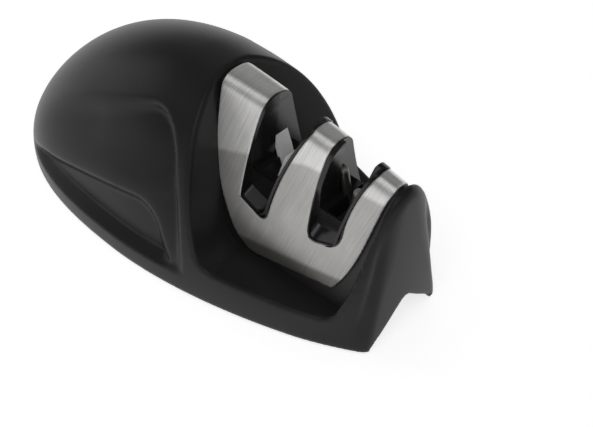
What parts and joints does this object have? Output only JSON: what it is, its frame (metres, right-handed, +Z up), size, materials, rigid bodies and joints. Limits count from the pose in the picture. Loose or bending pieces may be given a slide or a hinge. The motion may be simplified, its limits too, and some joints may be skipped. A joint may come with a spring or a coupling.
{
  "type": "pull through knife sharpener",
  "caption": "Palm-shaped pull through knife sharpener: black moulded body, brushed steel saddle, and a coarse and a fine slot with crossed plates and rods.",
  "frame": {"origin": "on the table, under the middle of the length and on the middle plane", "axes": "+X from the rounded heel to the nose, +Y across, the way the knife is pulled, +Z up"},
  "size_m": [0.145, 0.072, 0.0566],
  "materials": {
    "housing_plastic": "satin black moulded plastic with a fine spark texture",
    "base_plastic": "plain black moulded plastic",
    "core_plastic": "black moulded plastic",
    "liner_plastic": "glossy black moulded plastic",
    "brushed_cover": "stainless sheet brushed along its flanks",
    "carbide": "ground tungsten carbide, light grey",
    "ceramic_rod": "fine unglazed white ceramic",
    "strap_steel": "plain stamped steel",
    "screw_steel": "plain steel screws",
    "foot_rubber": "dark grey rubber pads"
  },
  "bodies": {
    "root": {"housing": "housing_plastic", "base_plate": "base_plastic", "spine_core": "core_plastic", "steel_cover": "brushed_cover", "coarse_liner_near": "liner_plastic", "coarse_liner_far": "liner_plastic", "fine_liner_near": "liner_plastic", "fine_liner_far": "liner_plastic", "coarse_plate_near": "carbide", "coarse_plate_far": "carbide", "fine_rod_near": "ceramic_rod", "fine_rod_far": "ceramic_rod", "coarse_clamp": "strap_steel", "fine_clamp": "strap_steel", "coarse_clamp_screws": "screw_steel", "fine_clamp_screws": "screw_steel", "core_screws": "screw_steel", "base_screws": "screw_steel", "rear_near_foot": "foot_rubber", "rear_far_foot": "foot_rubber", "front_near_foot": "foot_rubber", "front_far_foot": "foot_rubber"}
  },
  "joints": []
}
